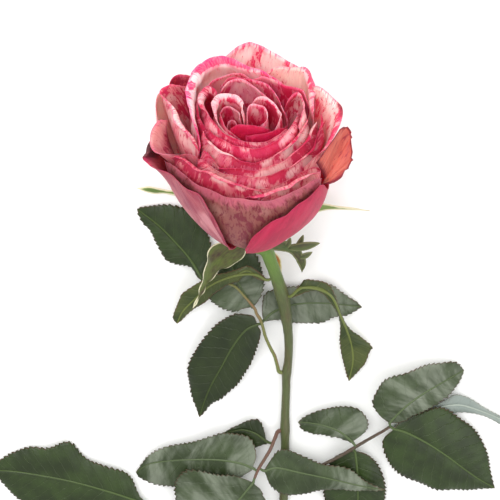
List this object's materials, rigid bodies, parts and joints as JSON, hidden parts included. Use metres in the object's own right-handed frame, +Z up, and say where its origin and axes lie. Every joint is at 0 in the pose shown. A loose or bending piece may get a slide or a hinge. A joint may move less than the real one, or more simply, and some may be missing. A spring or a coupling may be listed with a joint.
{
  "type": "cut rose",
  "caption": "Cut garden rose with a full cupped bloom, prickly stem and toothed compound leaves, lying on its back.",
  "frame": {"origin": "centre of the bounding box's bottom face, on the surface that the rose lies on", "axes": "+Y along the rose towards the bloom, +Z up, +X to the right seen from above with the bloom at the top"},
  "size_m": [0.2478, 0.472, 0.0762],
  "materials": {
    "petal_heart": "soft satin",
    "petal_ring": "soft satin",
    "petal_front": "soft satin",
    "petal_left": "soft satin",
    "petal_right": "soft satin",
    "petal_back": "soft satin",
    "petal_outer": "soft satin",
    "sepal": "dull, felted edge",
    "leaf": "waxy, semi-gloss",
    "rachis": "matt",
    "stem": "satin"
  },
  "bodies": {
    "root": {"petal_heart_right_inner": "petal_heart", "petal_heart_right_outer": "petal_heart", "petal_heart_left_inner": "petal_heart", "petal_heart_left_middle": "petal_heart", "petal_heart_left_outer": "petal_heart", "petal_heart_front_inner": "petal_heart", "petal_heart_front": "petal_heart", "petal_ring_front_1": "petal_ring", "petal_ring_back_1": "petal_ring", "petal_ring_back_2": "petal_ring", "petal_ring_back_3": "petal_ring", "petal_ring_back_4": "petal_ring", "petal_ring_right": "petal_ring", "petal_ring_front_2": "petal_ring", "petal_front_3": "petal_front", "petal_front_4": "petal_front", "petal_front_5": "petal_front", "petal_front_6": "petal_front", "petal_left_1": "petal_left", "petal_left_2": "petal_left", "petal_left_3": "petal_left", "petal_left_4": "petal_left", "petal_left_5": "petal_left", "petal_front_7": "petal_front", "petal_front_8": "petal_front", "petal_front_9": "petal_front", "petal_right_1": "petal_right", "petal_right_2": "petal_right", "petal_right_3": "petal_right", "petal_back_1": "petal_back", "petal_outer_front_left": "petal_outer", "petal_outer_front_right": "petal_outer", "petal_outer_back_right": "petal_outer", "petal_outer_back_left": "petal_outer", "sepal_front_left": "sepal", "sepal_right": "sepal", "sepal_left": "sepal", "sepal_lower_right": "sepal", "sepal_under": "sepal", "leaflet_upper_terminal": "leaf", "leaflet_upper_lateral": "leaf", "leaf_simple_left": "leaf", "leaflet_middle_left": "leaf", "leaflet_middle_right": "leaf", "leaf_simple_right": "leaf", "leaflet_lower_left_side": "leaf", "leaflet_lower_left_terminal": "leaf", "leaflet_lower_left_back": "leaf", "leaflet_lower_right_side": "leaf", "leaflet_right_small": "leaf", "leaflet_right_lower": "leaf", "leaflet_right_upper": "leaf", "leaflet_right_terminal": "leaf", "leaflet_right_back": "leaf", "leaflet_bottom_left": "leaf", "rachis_upper": "rachis", "rachis_lower_left": "rachis", "rachis_right": "rachis", "rachis_bottom_left": "rachis", "stem": "stem"}
  },
  "joints": []
}
